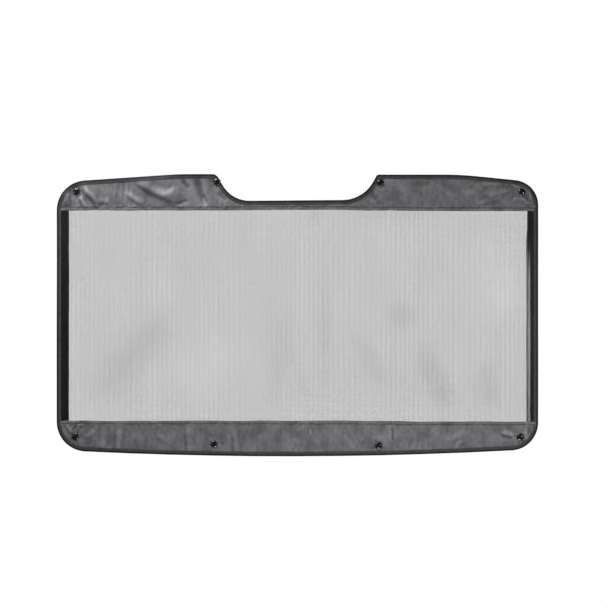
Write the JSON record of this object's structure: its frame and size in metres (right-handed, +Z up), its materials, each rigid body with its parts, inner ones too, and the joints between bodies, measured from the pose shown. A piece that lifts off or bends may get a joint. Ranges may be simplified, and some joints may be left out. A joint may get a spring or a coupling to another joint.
{
  "type": "windshield mesh screen",
  "caption": "Flat sewn mesh screen with vinyl bands, bound edge and snap sockets along the top and bottom, which buttons over a windshield opening.",
  "frame": {"origin": "the middle of the finished panel: half its width, half its height and half its depth over the snaps", "axes": "+X to the right seen from the front, +Z up, the front with the snap caps faces -Y and the snap sockets open to +Y"},
  "size_m": [1.016, 0.0106, 0.5954],
  "materials": {
    "mesh": "black vinyl-coated open mesh, about half open",
    "vinyl": "charcoal vinyl-coated cloth, fine grain, low satin sheen",
    "strip": "black vinyl-coated cloth, satin",
    "binding": "black woven-backed binding tape, folded and sewn",
    "thread": "bonded polyester thread, black",
    "snap_cap": "gloss black enamel",
    "snap_socket": "nickel plate",
    "snap_spring": "stainless spring wire"
  },
  "bodies": {
    "root": {"mesh_panel": "mesh", "edge_binding": "binding", "top_band_front": "vinyl", "bottom_band_front": "vinyl", "side_strip_left_front": "strip", "side_strip_right_front": "strip", "hem_thread_top_front": "thread", "hem_thread_bottom_front": "thread", "strip_thread_left_front": "thread", "strip_thread_right_front": "thread", "binding_thread_front": "thread", "top_band_back": "vinyl", "bottom_band_back": "vinyl", "side_strip_left_back": "strip", "side_strip_right_back": "strip", "hem_thread_top_back": "thread", "hem_thread_bottom_back": "thread", "strip_thread_left_back": "thread", "strip_thread_right_back": "thread", "binding_thread_back": "thread", "snap_cap_top_left_outer": "snap_cap", "snap_socket_top_left_outer": "snap_socket", "snap_spring_top_left_outer": "snap_spring", "snap_cap_top_left_inner": "snap_cap", "snap_socket_top_left_inner": "snap_socket", "snap_spring_top_left_inner": "snap_spring", "snap_cap_top_right_inner": "snap_cap", "snap_socket_top_right_inner": "snap_socket", "snap_spring_top_right_inner": "snap_spring", "snap_cap_top_right_outer": "snap_cap", "snap_socket_top_right_outer": "snap_socket", "snap_spring_top_right_outer": "snap_spring", "snap_cap_bottom_left_outer": "snap_cap", "snap_socket_bottom_left_outer": "snap_socket", "snap_spring_bottom_left_outer": "snap_spring", "snap_cap_bottom_left_inner": "snap_cap", "snap_socket_bottom_left_inner": "snap_socket", "snap_spring_bottom_left_inner": "snap_spring", "snap_cap_bottom_right_inner": "snap_cap", "snap_socket_bottom_right_inner": "snap_socket", "snap_spring_bottom_right_inner": "snap_spring", "snap_cap_bottom_right_outer": "snap_cap", "snap_socket_bottom_right_outer": "snap_socket", "snap_spring_bottom_right_outer": "snap_spring"}
  },
  "joints": []
}
